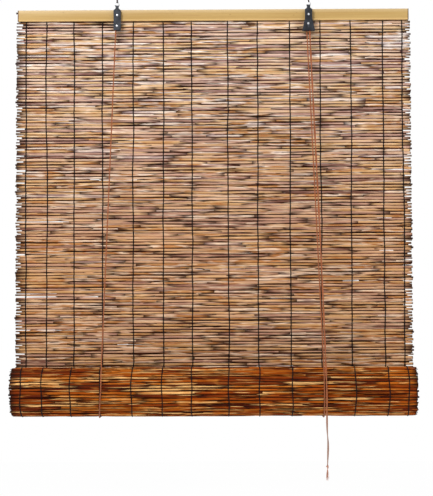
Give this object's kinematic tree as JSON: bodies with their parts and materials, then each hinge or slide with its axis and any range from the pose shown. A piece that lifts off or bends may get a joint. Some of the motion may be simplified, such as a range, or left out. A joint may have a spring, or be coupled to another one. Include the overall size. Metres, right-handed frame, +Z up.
{
  "type": "bamboo reed roller blind",
  "caption": "Woven bamboo reed blind, rolled up at the bottom and hung from two black cord blocks on screw hooks, with two lift cords and a pull cord.",
  "frame": {"origin": "midway between the two screw hooks, on the surface that they are driven into", "axes": "+X along the rail to the right as seen from the room, +Y away from the viewer towards the window, +Z up into the ceiling along the hooks' screws"},
  "size_m": [1.0127, 0.1359, 1.2515],
  "materials": {
    "reed": "rough",
    "rail_bamboo": "satin",
    "black_steel": "satin",
    "bright_steel": "satin",
    "bright_wire": "satin",
    "zinc_wire": "matte",
    "copper_cord": "matte",
    "black_thread": "matte"
  },
  "bodies": {
    "hooks": {"screw_hooks": "zinc_wire"},
    "bails": {"wire_bails": "bright_wire"},
    "head": {"left_block_shell": "black_steel", "right_block_shell": "black_steel", "hanger_bolts": "bright_steel", "hanger_nuts": "bright_steel", "left_cord_pin": "bright_steel", "right_sheave_pin": "bright_steel", "front_batten": "rail_bamboo", "rear_batten": "rail_bamboo", "batten_staples": "bright_steel", "hanging_mat": "reed", "warp_threads": "black_thread", "left_lift_front": "copper_cord", "left_lift_back": "copper_cord", "right_lift_front": "copper_cord", "right_lift_back": "copper_cord", "cross_cord": "copper_cord", "turn_cord": "copper_cord", "pull_cord": "copper_cord"},
    "sheave": {"right_sheave": "bright_steel"},
    "lock": {"lock_roller": "bright_steel"},
    "sling": {"lift_slings": "copper_cord"},
    "roll": {"mat_roll": "reed", "roll_threads": "black_thread", "bottom_pole": "rail_bamboo"},
    "pull": {"pull_tail": "copper_cord", "pull_knot": "copper_cord"}
  },
  "joints": [
    {"name": "bail_swing", "type": "hinge", "parent": "hooks", "child": "bails", "pos_m": [0, 0, -0.0234], "axis": [1, 0, 0], "range_deg": [-30, 30]},
    {"name": "head_swing", "type": "hinge", "parent": "bails", "child": "head", "pos_m": [0, 0, -0.0339], "axis": [1, 0, 0], "range_deg": [-20, 20]},
    {"name": "roll_lift", "type": "slide", "parent": "head", "child": "sling", "axis": [0, -0.027, 0.9996], "range_m": [0, 0.7351], "deforming": ["hanging_mat", "warp_threads", "left_lift_front", "right_lift_front", "left_lift_back", "right_lift_back"]},
    {"name": "roll_turn", "type": "hinge", "parent": "sling", "child": "roll", "pos_m": [0, -0.01664, -1.00871], "axis": [1, 0, 0], "range_deg": [-720, 0]},
    {"name": "pull", "type": "slide", "parent": "head", "child": "pull", "axis": [0, -0.027, 0.9996], "range_m": [-1.4702, 0], "deforming": ["pull_cord"]},
    {"name": "sheave_turn", "type": "hinge", "parent": "head", "child": "sheave", "pos_m": [0.2415, 0.00201, -0.08226], "axis": [0, 0.9996, 0.027], "continuous": true},
    {"name": "lock_release", "type": "slide", "parent": "head", "child": "lock", "axis": [0.2239, 0.0264, -0.9743], "range_m": [0, 0.004]}
  ],
  "couplings": [
    {"joint": "roll_turn", "follows": "roll_lift", "rad_per_m": -17.094},
    {"joint": "pull", "follows": "roll_lift", "ratio": -2},
    {"joint": "sheave_turn", "follows": "roll_lift", "rad_per_m": 555.56}
  ]
}
